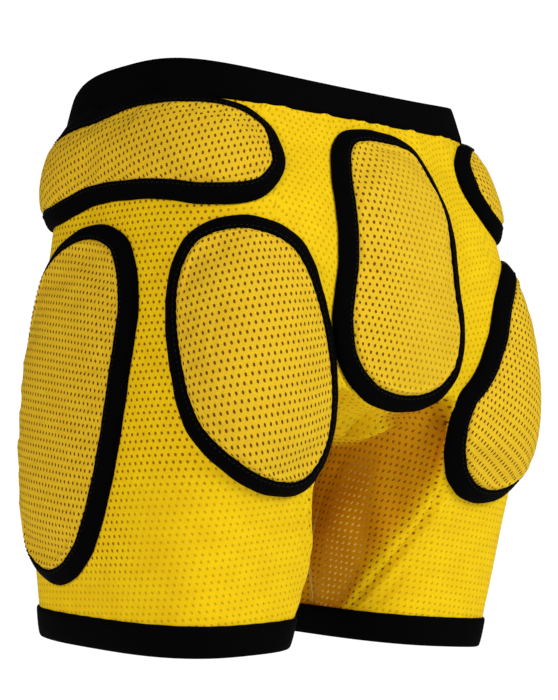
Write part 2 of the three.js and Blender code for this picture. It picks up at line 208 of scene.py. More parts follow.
def ends(z):
    """Distances round the body at the back and the front of the half."""
    return np.interp(z, TABLE_Z, BACK_END), np.interp(z, TABLE_Z, FRONT_END)


def place_round(share, z):
    back, front = ends(z)
    return back + (front - back) * share


def waist_edge(share):
    z = np.zeros_like(share)
    for _ in range(4):
        facing = np.cos(look_up(TABLE_TURN, place_round(share, z), z) * 2 * math.pi)
        end = np.where(facing > 0, -WAIST_FRONT_DROP, 0)
        z = WAIST_SIDE_RISE + (end - WAIST_SIDE_RISE) * facing ** 2
    return z


def waistband_height(share):
    turn = look_up(TABLE_TURN, place_round(share, 0.0), 0.0)
    facing_side = np.sin(turn * 2 * math.pi)
    return WAISTBAND_HEIGHT + WAISTBAND_SIDE_EXTRA * facing_side ** 2


def hem_edge(share):
    z = np.full_like(share, HEM_BASE)
    for _ in range(4):
        point = worn(place_round(share, z), z)
        z = HEM_BASE - HEM_TILT_BACK * point[:, 1] - HEM_TILT_OUT * (point[:, 0] - LEG_CENTRE)
    return z


# ---- Meshes ----

RIGHT = np.array([-1.0, 1.0, 1.0])
SIDES = (("left", False), ("right", True))


def add_object(name, data):
    made = bpy.data.objects.new(name, data)
    bpy.context.scene.collection.objects.link(made)
    return made


def flipped(faces):
    return [tuple(reversed(face)) for face in faces]


def make_mesh(name, points, faces, material, mirrored=False, pattern=None):
    """A smooth-shaded mesh object from points in millimetres. pattern holds each point's place
    in the flat cloth, which the fabric materials read, and a mask of painted shade and painted
    light."""
    points = np.asarray(points, float) * MM
    if mirrored:
        points = points * RIGHT
        faces = flipped(faces)
    mesh = bpy.data.meshes.new(name)
    mesh.from_pydata(points.tolist(), [], [tuple(int(i) for i in face) for face in faces])
    mesh.update()
    if pattern is not None:
        flat = np.zeros((len(points), 3), np.float32)
        flat[:, :pattern.shape[1]] = pattern
        attribute = mesh.attributes.new("cloth", "FLOAT_VECTOR", "POINT")
        attribute.data.foreach_set("vector", flat.ravel())
    mesh.shade_smooth()
    mesh.materials.append(material)
    return add_object(name, mesh)


def grid_faces(index, rows_meet=False, columns_meet=False, flip=False):
    """Four-sided faces over a grid of point numbers, closed where its rows or columns meet."""
    rows, columns = index.shape
    faces = []
    for r in range(rows if rows_meet else rows - 1):
        q = (r + 1) % rows
        for c in range(columns if columns_meet else columns - 1):
            n = (c + 1) % columns
            face = (index[r, c], index[q, c], index[q, n], index[r, n])
            faces.append((face[0],) + face[:0:-1] if flip else face)
    return faces


def ring_faces(loops, size):
    """Faces of a closed tube of so many loops of so many points."""
    index = np.arange(loops * size).reshape(loops, size)
    return grid_faces(index, rows_meet=True, columns_meet=True, flip=True)


def turned(points, degrees):
    a = math.radians(degrees)
    u, v = points[:, 0], points[:, 1]
    return np.stack([u * math.cos(a) + v * math.sin(a), v * math.cos(a) - u * math.sin(a)], -1)


def closed_curve(knots, spacing):
    """Even points along the closed centripetal Catmull-Rom curve through the knots."""
    knots = np.array(knots, float)
    count = len(knots)
    points = []
    for i in range(count):
        p0, p1, p2, p3 = (knots[(i + k) % count] for k in (-1, 0, 1, 2))
        d0, d1, d2 = (math.sqrt(np.linalg.norm(b - a)) for a, b in ((p0, p1), (p1, p2), (p2, p3)))
        m1 = ((p1 - p0) / d0 - (p2 - p0) / (d0 + d1) + (p2 - p1) / d1) * d1
        m2 = ((p2 - p1) / d1 - (p3 - p1) / (d1 + d2) + (p3 - p2) / d2) * d1
        t = np.linspace(0, 1, 60, endpoint=False)[:, None]
        points.append(p1 + m1 * t + (3 * (p2 - p1) - 2 * m1 - m2) * t ** 2
                      + (2 * (p1 - p2) + m1 + m2) * t ** 3)
    return even(np.concatenate(points), spacing)


def closed_lengths(loop):
    """The loop with its first point again at the end, and how far along it each point is."""
    closed = np.vstack([loop, loop[:1]])
    steps = np.linalg.norm(np.diff(closed, axis=0), axis=1)
    return closed, np.concatenate([[0], np.cumsum(steps)])


def even(loop, spacing):
    """A closed loop of points resampled to an even spacing."""
    closed, travelled = closed_lengths(loop)
    count = max(12, round(travelled[-1] / spacing))
    at = np.linspace(0, travelled[-1], count, endpoint=False)
    return np.stack([np.interp(at, travelled, closed[:, k]) for k in range(loop.shape[1])], -1)


def inset(loop, distance):
    """The loop moved inwards by a distance."""
    along = unit(np.roll(loop, -1, 0) - np.roll(loop, 1, 0))
    inward = np.stack([along[:, 1], -along[:, 0]], -1)
    x, y = loop[:, 0], loop[:, 1]
    area = np.sum(x * np.roll(y, -1) - np.roll(x, -1) * y) / 2
    return loop + inward * distance * (-1 if area > 0 else 1)


def distance_inside(points, loop):
    """Distance of each point to the closed loop, positive inside it."""
    a, b = loop, np.roll(loop, -1, 0)
    edge = b - a
    square = np.sum(edge ** 2, axis=1)
    nearest = np.empty(len(points))
    inside = np.zeros(len(points), bool)
    for start in range(0, len(points), 2000):
        p = points[start:start + 2000, None, :]
        t = np.clip(np.sum((p - a) * edge, axis=2) / square, 0, 1)
        gap = np.linalg.norm(p - a - edge * t[..., None], axis=2)
        nearest[start:start + 2000] = gap.min(axis=1)
        y = p[..., 1]
        crosses = (a[:, 1] > y) != (b[:, 1] > y)
        with np.errstate(divide="ignore", invalid="ignore"):
            where = a[:, 0] + (y - a[:, 1]) * edge[:, 0] / edge[:, 1]
        inside[start:start + 2000] = np.sum(crosses & (p[..., 0] < where), axis=1) % 2 == 1
    return np.where(inside, nearest, -nearest)


# ---- Materials ----


class Nodes:
    """Short hands for building a material's node tree."""

    def __init__(self, name):
        self.material = bpy.data.materials.new(name)
        self.material.use_nodes = True
        self.tree = self.material.node_tree
        self.shader = self.tree.nodes["Principled BSDF"]

    def feed(self, socket, value):
        if isinstance(value, bpy.types.NodeSocket):
            self.tree.links.new(value, socket)
        else:
            socket.default_value = value

    def add(self, kind, inputs, output=0, **settings):
        """Adds a node with its inputs fed, and returns one of its outputs."""
        node = self.tree.nodes.new(kind)
        for key, value in settings.items():
            setattr(node, key, value)
        for name, value in inputs.items():
            self.feed(node.inputs[name], value)
        return node.outputs[output]

    def shade(self, inputs):
        """Feeds the shader and returns the finished material."""
        for name, value in inputs.items():
            self.feed(self.shader.inputs[name], value)
        return self.material

    def math(self, operation, *values):
        return self.add("ShaderNodeMath", dict(enumerate(values)), operation=operation)

    def cloth(self):
        """The place in the flat cloth in millimetres, the mask of painted shade and painted light,
        and both as a vector."""
        place = self.add("ShaderNodeAttribute", {}, "Vector", attribute_name="cloth")
        split = self.add("ShaderNodeSeparateXYZ", {0: place}).node
        return *split.outputs, place

    def noise(self, vector, scale, detail):
        inputs = {"Vector": vector, "Scale": scale, "Detail": detail}
        return self.add("ShaderNodeTexNoise", inputs, "Fac")

    def ramp(self, value, low, high, to_low=0.0, to_high=1.0):
        inputs = {"Value": value, "From Min": low, "From Max": high, "To Min": to_low,
                  "To Max": to_high}
        return self.add("ShaderNodeMapRange", inputs, "Result", interpolation_type="SMOOTHSTEP")

    def mix(self, share, first, second):
        return self.add("ShaderNodeMix", {0: share, 6: first, 7: second}, 2, data_type="RGBA")

    def bump(self, height, distance, strength, **under):
        inputs = {"Strength": strength, "Distance": distance * MM, "Height": height}
        return self.add("ShaderNodeBump", inputs | under)


HOLE_PITCH = 3.7
HOLE_ROW = 5.3
HOLE_WIDE = 1.25
HOLE_TALL = 2.45


def holes(nodes, u, v, wide, tall):
    """1 in the holes of the staggered perforation, 0 on the cloth between them."""
    calc = nodes.math
    row = calc("DIVIDE", v, HOLE_ROW)
    row_number = calc("FLOOR", row)
    stagger = calc("MULTIPLY", calc("PINGPONG", row_number, 1.0), 0.5)
    column = calc("ADD", calc("DIVIDE", u, HOLE_PITCH), stagger)
    across = calc("SUBTRACT", calc("FRACT", column), 0.5)
    along = calc("SUBTRACT", calc("FRACT", row), 0.5)
    across = calc("MULTIPLY", across, HOLE_PITCH / (wide / 2))
    along = calc("MULTIPLY", along, HOLE_ROW / (tall / 2))
    square = calc("ADD", calc("MULTIPLY", across, across), calc("MULTIPLY", along, along))
    return nodes.ramp(calc("SQRT", square), 0.75, 1.3, 1.0, 0.0)


def knit_height(nodes, u, v, wale, course):
    """Fine rows of loops, as a height from 0 to 1."""
    a = nodes.math("SINE", nodes.math("MULTIPLY", u, 2 * math.pi / wale))
    b = nodes.math("SINE", nodes.math("MULTIPLY", v, 2 * math.pi / course))
    return nodes.math("ADD", nodes.math("MULTIPLY", nodes.math("MULTIPLY", a, b), 0.35), 0.5)


# Painted shade: the deeper tone on the inner thigh and under the seat fold.
PAINTED_SHADE_CLOTH = (0.62, 0.28, 0.002, 1)
# Painted light: the pale colour in the holes on the shaded inner thigh.
PAINTED_GLOW_HOLE = (1.0, 0.74, 0.20, 1)
HOLES_UNDER_PAINTED_LIGHT = 0.45  # how much of the holes still shows where painted light fades them
WALE = 0.9
COURSE = 0.75


def mesh_cloth(name, colour, deep, hole_colour, hole_depth, wide, tall):
    """Perforated stretch mesh: knit loops, staggered holes and slight unevenness of colour.
    Painted shade deepens its tone on the inner thigh and under the seat fold, painted light shows
    pale in its holes there, and painted light fades its holes where the light falls strongly."""
    nodes = Nodes(name)
    u, v, painted_light_and_shade, place = nodes.cloth()
    uneven = nodes.noise(place, 0.05, 3.0)
    fine = nodes.noise(place, 1.1, 2.0)
    cloth = nodes.mix(nodes.ramp(uneven, 0.3, 0.75), colour, deep)
    speck_and_painted_shade = nodes.mix(nodes.ramp(fine, 0.25, 0.8), cloth, deep)
    # Painted shade deepens the tone on the inner thigh and under the seat fold.
    speck_and_painted_shade = nodes.mix(nodes.ramp(painted_light_and_shade, 0.0, 0.5), speck_and_painted_shade, PAINTED_SHADE_CLOTH)
    # Painted light fades the holes where the light falls strongly.
    hole = nodes.math("MULTIPLY", holes(nodes, u, v, wide, tall),
                      nodes.ramp(painted_light_and_shade, -1.0, 0.0, HOLES_UNDER_PAINTED_LIGHT, 1.0))
    # Painted light: the holes turn pale on the shaded inner thigh.
    hole_painted_glow = nodes.mix(nodes.ramp(painted_light_and_shade, 0.5, 1.0), hole_colour, PAINTED_GLOW_HOLE)
    loops = nodes.bump(knit_height(nodes, u, v, WALE, COURSE), 0.12, 0.6)
    sunk = nodes.math("SUBTRACT", 1.0, hole)
    return nodes.shade({"Base Color": nodes.mix(hole, speck_and_painted_shade, hole_painted_glow),
                        "Roughness": nodes.ramp(fine, 0.2, 0.8, 0.62, 0.8),
                        "Normal": nodes.bump(sunk, hole_depth, 1.0, Normal=loops),
                        "Sheen Weight": 0.08, "Sheen Roughness": 0.5,
                        "Sheen Tint": (1.0, 0.75, 0.15, 1.0), "Specular IOR Level": 0.06})


def black_knit(name, rib):
    """Soft black knit with fine ribs along the tape."""
    nodes = Nodes(name)
    u, v, _, place = nodes.cloth()
    fuzz = nodes.noise(place, 1.6, 3.0)
    tone = nodes.mix(nodes.ramp(fuzz, 0.3, 0.8), (0.0006, 0.0006, 0.0008, 1),
                     (0.0016, 0.0016, 0.0019, 1))
    ribs = knit_height(nodes, u, v, rib, 0.8)
    rough = nodes.bump(fuzz, 0.15, 0.5)
    return nodes.shade({"Base Color": tone, "Roughness": nodes.ramp(fuzz, 0.2, 0.8, 0.7, 0.9),
                        "Normal": nodes.bump(ribs, 0.2, 0.7, Normal=rough),
                        "Specular IOR Level": 0.02})


def thread(name, colour):
    nodes = Nodes(name)
    twist = nodes.noise(nodes.add("ShaderNodeTexCoord", {}, "Object"), 2500.0, 1.0)
    darker = tuple(c * 0.6 for c in colour[:3]) + (1,)
    return nodes.shade({"Base Color": nodes.mix(twist, colour, darker), "Roughness": 0.6,
                        "Specular IOR Level": 0.12})


SHELL_CLOTH = mesh_cloth("shell_mesh", (0.89, 0.625, 0.003, 1), (0.80, 0.515, 0.003, 1),
                         (0.27, 0.11, 0.004, 1), 0.4, 1.32, 2.35)
PAD_CLOTH = mesh_cloth("pad_mesh", (0.77, 0.515, 0.016, 1), (0.71, 0.445, 0.014, 1),
                       (0.14, 0.055, 0.005, 1), 0.7, HOLE_WIDE, HOLE_TALL)
BINDING_KNIT = black_knit("binding_knit", 1.2)
BAND_KNIT = black_knit("band_knit", 1.6)
BLACK_THREAD = thread("black_thread", (0.004, 0.004, 0.005, 1))
YELLOW_THREAD = thread("yellow_thread", (0.80, 0.62, 0.16, 1))

# ---- Shell ----

SHELL_COLUMNS = 300
ROWS_BELOW = 62
ROWS_ABOVE = 96
SHELL_THICKNESS = 1.2
UNDER_BANDS = 5       # how far the shell runs in under the waistband and the hems
CROTCH_EASE = 0.06    # how evenly the rows above the crotch are spread
RELAX_STEPS = 900
SEWN_MARGIN = 9       # how far from a pad the shell is free to fold again
GRAIN_TURN = 6.3      # degrees the holes' rows slant on the shell
PAINTED_SHADE_LOWER = (18, 0)  # how far below the seat fold the left and right painted shade starts
SHELL_STRETCH = (1.42, 0.92)  # how much wider and taller than on the pads the holes are spaced


def shell_heights(share):
    """Rows of heights from under the hem band to under the waistband, finer at the crotch."""
    below = np.linspace(0, 1, ROWS_BELOW)[:, None]
    low = hem_edge(share) + HEM_HEIGHT - UNDER_BANDS
    lower = low + (CROTCH_Z - low) * below
    t = np.arange(1, ROWS_ABOVE + 1)[:, None] / ROWS_ABOVE
    eased = np.sqrt(t ** 2 + CROTCH_EASE ** 2) - CROTCH_EASE
    rise = eased / (math.sqrt(1 + CROTCH_EASE ** 2) - CROTCH_EASE)
    top = waist_edge(share) - waistband_height(share) + UNDER_BANDS
    return np.vstack([lower, CROTCH_Z + (top - CROTCH_Z) * rise])


def fade(value, low, high):
    """0 below low, 1 above high, and a smooth step between."""
    t = np.clip((value - low) / (high - low), 0, 1)
    return t * t * (3 - 2 * t)


def relax(points, free, steps, crotch_row):
    """Soap-film smoothing of the half shell. Its two ends meet below the crotch, and above it
    each meets its mirror image across the centre plane."""
    for _ in range(steps):
        left = np.roll(points, 1, axis=1)
        right = np.roll(points, -1, axis=1)
        left[:, 0] = points[:, 1] * RIGHT
        right[:, -1] = points[:, -2] * RIGHT
        left[:crotch_row + 1, 0] = points[:crotch_row + 1, -2]
        right[:crotch_row + 1, -1] = points[:crotch_row + 1, 1]
        up = np.vstack([points[1:], points[-1:]])
        down = np.vstack([points[:1], points[:-1]])
        average = (left + right + up + down) / 4
        points = points + (average - points) * free[..., None] * 0.8
        middle = (points[:crotch_row + 1, 0] + points[:crotch_row + 1, -1]) / 2
        points[:crotch_row + 1, 0] = points[:crotch_row + 1, -1] = middle
        points[crotch_row:, 0, 0] = 0
        points[crotch_row:, -1, 0] = 0
    return points


def hump(distance, width):
    """1 at no distance, sinking smoothly to 0 on both sides."""
    return np.exp(-(distance / width) ** 2)


def shell_points():
    """The left half's shell: its points, their places in the flat cloth, and (s, z)."""
    share = np.linspace(0, 1, SHELL_COLUMNS)
    z = shell_heights(share)
    s = place_round(share, z)
    points = worn(s, z)
    behind = points[..., 1] > 0
    spanned = bridged_point(points[..., 0], z)
    under_pad = fade(z, -246, -232) * behind
    points[..., 1] += (spanned[..., 1] - points[..., 1]) * under_pad * (points[..., 0] < 75)
    near_centre = 1 - fade(points[..., 0], 30, 62)
    zone = fade(z, -330, -290) * (1 - fade(z, -236, -226) * behind) * (1 - fade(z, -150, -110))
    sewn = sewn_down(s, z, points)
    free = near_centre * zone * (1 - sewn)
    free[:3] = 0
    points = relax(points, free, RELAX_STEPS, ROWS_BELOW - 1)
    flat = cloth_lengths(points, s)
    band_low = waist_edge(share) - waistband_height(share)
    points += grid_normals(points) * (folds(s, z, band_low) * (1 - sewn))[..., None]
    return points, flat, s, z


def sewn_down(s, z, points):
    """1 where a pad of either side is sewn to the shell, easing to 0 a little way off."""
    nearest = np.full(s.size, -100.0)
    around = np.stack([s.ravel(), z.ravel()], -1)
    for knots in (HIP_OUTLINE, THIGH_OUTLINE, BUTTOCK_OUTLINE, RIGHT_BUTTOCK_OUTLINE):
        nearest = np.maximum(nearest, distance_inside(around, closed_curve(knots, 4)))
    behind = np.stack([points[..., 0].ravel(), z.ravel()], -1)
    tailbone = distance_inside(behind, closed_curve(TAILBONE_OUTLINE, 4))
    nearest = np.where(points[..., 1].ravel() > 0, np.maximum(nearest, tailbone), nearest)
    return 1 - fade(-nearest, 0, SEWN_MARGIN).reshape(s.shape)


def cloth_lengths(points, s):
    """Each point's place in the cloth, by the length along its row and the gaps between rows."""
    along = np.linalg.norm(np.diff(points, axis=1), axis=-1)
    u = np.concatenate([np.zeros((len(points), 1)), np.cumsum(along, axis=1)], 1)
    side_line = np.array([np.interp(0, row_s[::-1], row_u[::-1]) for row_s, row_u in zip(s, u)])
    u = side_line[:, None] - u
    step = np.diff(points, axis=0)
    tangent = unit(np.gradient(points, axis=1)[:-1])
    sideways = np.sum(step * tangent, axis=-1, keepdims=True) * tangent
    up = np.linalg.norm(step - sideways, axis=-1)
    v = np.concatenate([np.zeros((1, points.shape[1])), np.cumsum(up, axis=0)], 0) + HEM_BASE
    return np.stack([u / SHELL_STRETCH[0], v / SHELL_STRETCH[1]], -1)


def crease(z):
    """Where the slanting fold at the back of the thigh runs, as a distance round the body."""
    return np.interp(z, [-400, -374, -320, -265, -238], [239, 227, 207, 198, 214])


def seat_fold(s):
    """Height of the fold under the seat."""
    return np.interp(s, [190, 207, 234, 262, 284, 300, 330],
                     [-219, -221, -225, -229, -231, -240, -252])


def paint_light_and_shade(s, z, lower):
    """Mask of painted shade and painted light. Towards 1 on the inner thigh between the seat and
    the hem, where painted shade deepens the tone and painted light shows pale in the holes, and
    towards -1 on the seat and above the hem, where painted light fades the holes. The painted
    shade starts that much lower under the seat fold."""
    beside = s - crease(z)
    # Painted shade along the crease's groove.
    painted_groove_shade = 0.25 * hump(beside, 2.4) * fade(z, -390, -380) * (1 - fade(z, -310, -280))
    # The band where painted light shows pale in the holes.
    lit_centre = np.interp(z, [-372, -345, -304, -263, -250], [26, 40, 76, 116, 128])
    lit = 0.8 * (1 - fade(np.abs(beside - lit_centre), 8, 26)) * (1 - fade(z, -292, -256))
    inwards = 0.5 * fade(beside, 2, 30) + 0.5 * lit
    painted_light_and_shade = np.maximum(inwards, painted_groove_shade) * fade(seat_fold(s) - lower * fade(s, 215, 250) - z, -4, 12)
    # Painted light fades the holes on the seat, the back of the leg and above the hem.
    leg_back = fade(s, 28, 75) * fade(-z, 262, 318)
    painted_light_fade = np.maximum.reduce([fade(s, 95, 140), leg_back, fade(-z, 335, 368)])
    return painted_light_and_shade - painted_light_fade * (1 - fade(painted_light_and_shade, 0, 0.15))


def inseam_place(z):
    """Where the seam down the inside of the leg runs, as a distance round the body."""
    return np.interp(z, [-400, -375, -337, -300, -262], [263, 273, 291, 313, 336])


SEAT_ROLL = 2.2
SEAT_SINK = 12.0
CREASE_RIDGE, CREASE_GROOVE, CREASE_FALL = 1.6, 3.6, 3.4
SECOND_CREASE = 19  # how far the fainter crease lies from the main one
SECOND_RIDGE, SECOND_GROOVE = 0.9, 1.2
THIGH_PULLS, SEAT_PULLS = 0.9, 1.8
INSEAM_DRAW = 1.1
WAIST_GATHERS, RISING_GATHERS, HEM_GATHERS = 0.45, 0.9, 0.3
BAND_ROOM = 0.4     # how far the shell may sink under the waistband


def seat_folds(s, z):
    """The cloth stands full above the fold under the seat and sinks below it."""
    below = seat_fold(s) - z
    roll = SEAT_ROLL * hump(below + 8, 8) * (1 - fade(below, -2, 5))
    sunk = SEAT_SINK * fade(below, -3, 9) * (1 - fade(below, 26, 120))
    return (roll - sunk) * fade(s, 196, 232)


def thigh_folds(s, z):
    """A ridge slants down the back of the thigh, the cloth falls away inside it, and a fainter
    ridge runs beside it."""
    beside = s - crease(z)
    falls = CREASE_FALL * fade(beside, 6, 18) * (1 - fade(beside, 30, 80))
    first = CREASE_RIDGE * hump(beside + 7, 5) - CREASE_GROOVE * hump(beside, 3) - falls
    second = beside + SECOND_CREASE
    second = SECOND_RIDGE * hump(second + 5, 4) - SECOND_GROOVE * hump(second, 3)
    return (first + second) * fade(z, -386, -372) * (1 - fade(z, -300, -262))


def crotch_pulls(s, z):
    """Pulls spread from the crotch over the inner thigh, and short ones up the seat."""
    slant = (s - 300) * 0.62 - (z + 261) * 0.78
    reach = fade(s, 205, 240) * fade(-z, 256, 280) * (1 - fade(-z, 350, 392))
    pulls = THIGH_PULLS * np.sin(slant / 4.6 + 0.8 * np.sin(s / 19)) * reach
    fan = np.arctan2(z + 262, 318 - s)
    near = hump(s - 292, 22) * hump(z + 228, 14)
    return pulls + SEAT_PULLS * np.sin(fan * 15) * near


def folds(s, z, band_low):
    """How far the worn cloth's folds stand out of, or sink below, the plain shape."""
    height = seat_folds(s, z) + thigh_folds(s, z) + crotch_pulls(s, z)
    seam = s - inseam_place(z)
    height -= INSEAM_DRAW * hump(seam, 3) * (1 - fade(z, -275, -255))
    under_band = fade(z, band_low - 24, band_low - 2)
    height += WAIST_GATHERS * np.sin(s / 2.3 + np.sin(s / 17) * 2) * under_band
    rising = fade(z, band_low - 76, band_low - 16) * fade(s, 60, 110)
    height += RISING_GATHERS * np.sin(s / 8.5 + np.sin(s / 31) * 2.4) * rising
    height = np.where(z > band_low - 3, np.maximum(height, -BAND_ROOM), height)
    over_hem = 1 - fade(z, -386, -368)
    height += HEM_GATHERS * np.sin(s / 2.9 + np.sin(s / 21) * 2) * over_hem
    return height


def grid_normals(points):
    along = np.gradient(points, axis=1)
    up = np.gradient(points, axis=0)
    return unit(np.cross(up, along))


def compact(points, faces, *extras):
    """Drops the points that no face uses."""
    used = np.unique(np.array(faces).ravel())
    number = np.full(len(points), -1)
    number[used] = np.arange(len(used))
    return points[used], number[np.array(faces)], *(extra[used] for extra in extras)


INSEAM_TOP, INSEAM_BOTTOM = -308, -384
INSEAM_HALF_WIDTH, INSEAM_RISE = 0.7, 0.45


def make_inseams(points, s, z):
    """The flat seam of each leg, laid on the shell from the crotch to the hem."""
    path = []
    for height in np.linspace(INSEAM_TOP, INSEAM_BOTTOM, 80):
        row_place = [np.interp(height, z[:ROWS_BELOW, c], np.arange(ROWS_BELOW))
                     for c in range(SHELL_COLUMNS)]
        low = np.floor(row_place).astype(int)
        part = (np.array(row_place) - low)[:, None]
        columns = np.arange(SHELL_COLUMNS)
        nxt = np.minimum(low + 1, ROWS_BELOW - 1)
        line = points[low, columns] * (1 - part) + points[nxt, columns] * part
        round_at = s[low, columns]
        target = inseam_place(height)
        order = np.argsort(round_at)
        path.append([np.interp(target, round_at[order], line[order, k]) for k in range(3)])
    path = np.array(path)
    outward = unit(np.cross(unit(np.gradient(path, axis=0)), [0.0, 1.0, 0.0]))
    outward *= np.where(outward[:, :1] > 0, -1, 1)
    return [make_tape(f"{side}_inseam", path, outward, YELLOW_THREAD, mirrored)
            for side, mirrored in SIDES]


def make_tape(name, path, outward, material, mirrored):
    """A narrow raised tape along an open path."""
    side = np.cross(outward, unit(np.gradient(path, axis=0)))
    angles = np.linspace(0, 2 * math.pi, 8, endpoint=False)
    taper = np.minimum(1, np.minimum(np.arange(len(path)), np.arange(len(path))[::-1]) / 3 + 0.1)
    rings = [path + side * math.cos(a) * INSEAM_HALF_WIDTH * taper[:, None]
             + outward * math.sin(a) * INSEAM_RISE * taper[:, None] for a in angles]
    points = np.stack(rings, 1)
    count = len(angles)
    index = np.arange(points.shape[0] * count).reshape(-1, count)
    faces = grid_faces(index, columns_meet=True)
    faces += [tuple(index[0]), tuple(reversed(index[-1]))]
    return make_mesh(name, points.reshape(-1, 3), faces, material, mirrored)


def make_shells():
    """Both halves of the shell, the area of one, and the inseams laid on them."""
    points, flat, s, z = shell_points()
    inseams = make_inseams(points, s, z)
    index = np.arange(s.size).reshape(s.shape)
    index[:ROWS_BELOW, -1] = index[:ROWS_BELOW, 0]  # the half's ends join below the crotch
    faces = grid_faces(index)
    places = turned(flat.reshape(-1, 2), GRAIN_TURN)
    # The third column is the mask of painted shade and painted light.
    patterns = [np.column_stack([places, paint_light_and_shade(s, z, lower).ravel()])
                for lower in PAINTED_SHADE_LOWER]
    points, faces, *patterns = compact(points.reshape(-1, 3), faces, *patterns)
    corners = points[faces]
    area = float(np.linalg.norm(np.cross(corners[:, 2] - corners[:, 0],
                                         corners[:, 3] - corners[:, 1]), axis=1).sum() / 2)
    made = []
    for (side, mirrored), pattern in zip(SIDES, patterns):
        shell = make_mesh(f"{side}_shell", points, faces, SHELL_CLOTH, mirrored, pattern)
        thicken = shell.modifiers.new("cloth", "SOLIDIFY")
        thicken.thickness = SHELL_THICKNESS * MM
        thicken.offset = -1
        made.append(shell)
    return made, area * MM * MM, inseams


# ---- Waistband and hems ----

# Cross-section of a folded band: [height off the worn surface, distance from the free edge]
BAND_PROFILE = np.array([
    (-1.9, 24), (-2.2, 12), (-2.0, 3.5), (-1.4, 1.1), (-0.5, 0.2), (0.3, 0.0), (1.2, 0.5),
    (1.8, 1.8), (2.1, 4.5), (2.3, 9), (2.3, 15), (2.2, 20), (2.0, 22.6), (1.5, 23.8), (0.7, 24.2),
    (-0.6, 24.2)])
PROFILE_HEIGHT = 24
LAP_STEP = 0.7          # how far the lapped end stands out at the centre back
LAP_EDGE = (-14, -12.4)
LAP_FADES = (20, 46)


def make_waistband():
    count = 260
    share = np.linspace(0, 1, count + 1)
    edge = waist_edge(share)
    tall = waistband_height(share)
    height, fall = BAND_PROFILE.T
    loops, pattern = [], []
    for mirrored in (False, True):
        order = range(count + 1) if not mirrored else range(count - 1, 0, -1)
        for i in order:
            z = edge[i] - fall * tall[i] / PROFILE_HEIGHT
            s = place_round(share[i], z)
            outer = np.clip(height - 1.2, 0, 1)
            back, _ = ends(edge[i])
            travel = (back - s) * (-1 if mirrored else 1)
            slanted = travel - (fall - PROFILE_HEIGHT / 2) * 0.9
            lap = fade(slanted, *LAP_EDGE) - fade(travel, *LAP_FADES)
            point = worn(s, z, height + LAP_STEP * lap * outer)
            if i in (0, count):
                point[:, 0] = 0
            loops.append(point * RIGHT if mirrored else point)
            pattern.append(np.stack([travel, fall + 3 * height], -1))
    faces = ring_faces(len(loops), len(BAND_PROFILE))
    return make_mesh("waistband", np.concatenate(loops), faces, BAND_KNIT, False,
                     np.concatenate(pattern))


def make_hem(side, mirrored):
    count = 300
    share = np.linspace(0, 1, count, endpoint=False)
    edge = hem_edge(share)
    profile = BAND_PROFILE * (1, HEM_HEIGHT / PROFILE_HEIGHT)
    z = edge[:, None] + profile[:, 1]
    s = place_round(share[:, None], z)
    points = worn(s, z, profile[:, 0])
    pattern = np.stack([s, z + 3 * profile[:, 0]], -1)
    faces = flipped(ring_faces(count, len(profile)))
    return make_mesh(f"{side}_hem", points.reshape(-1, 3), faces, BAND_KNIT, mirrored,
                     pattern.reshape(-1, 2))


# ---- Pads ----

# Cross-section of the binding: [distance in from the outline, height off the shell]
BINDING_PROFILE = np.array([
    (0.2, 0.3), (-0.1, 1.4), (0.5, 2.9), (2.0, 4.6), (4.2, 6.1), (6.8, 7.5), (9.2, 8.6),
    (11.0, 9.2), (12.0, 9.2), (12.4, 8.5), (11.8, 7.6), (9.5, 6.6), (6.0, 4.6), (3.0, 2.4),
    (1.4, 0.7)])
COVER_EDGE = 6.5
TUCK = 2.0  # how far the hip pads' binding runs in under the waistband
# how much of that reach each of the first points of the binding's cross-section takes
TOE_SHARE = (1, 1, 0.85, 0.5, 0.2, 0.05)
PAD_SPACING = 3.0
RIM_SPACING = 1.8
TAILBONE_PAINTED_LIGHT = 0.8  # how far painted light fades its holes towards the wearer's right
TAILBONE_PAINTED_LIGHT_FROM = (-45, 18)
COVER_LOOPS = (COVER_EDGE, 8.5, 10.3, 11.8, 13.4, 15.6, 18.2)
LATTICE_START = 20.2
PILLOW_START = 11.0
PILLOW_CELL = 2.0
PILLOW_STEPS = 2500


def pillow(outline):
    """A membrane's rise over the region more than PILLOW_START inside the outline, up to 1."""
    low, high = outline.min(0) - PILLOW_CELL, outline.max(0) + PILLOW_CELL
    xs = np.arange(low[0], high[0] + PILLOW_CELL, PILLOW_CELL)
    ys = np.arange(low[1], high[1] + PILLOW_CELL, PILLOW_CELL)
    grid = np.stack(np.meshgrid(xs, ys), -1)
    inside = distance_inside(grid.reshape(-1, 2), outline).reshape(grid.shape[:2])
    inside = inside > PILLOW_START
    rise = np.zeros(inside.shape)
    for _ in range(PILLOW_STEPS):
        mean = (np.roll(rise, 1, 0) + np.roll(rise, -1, 0) + np.roll(rise, 1, 1)
                + np.roll(rise, -1, 1)) / 4
        rise = np.where(inside, mean + 1, 0)
    rise /= rise.max()

    def at(points):
        return bilinear(rise, (points[:, 1] - ys[0]) / PILLOW_CELL,
                        (points[:, 0] - xs[0]) / PILLOW_CELL)

    return at


def rim_share(points, narrowed):
    """The binding's width at each point, as a share of its full width. The hip pad's binding is
    narrow along its top, under the waistband."""
    if not narrowed:
        return np.ones(len(points))
    s, z = points.T
    return 1 - 0.42 * fade(s, -10, 40) * (1 - fade(s, 132, 154)) * fade(z, -66, -44)


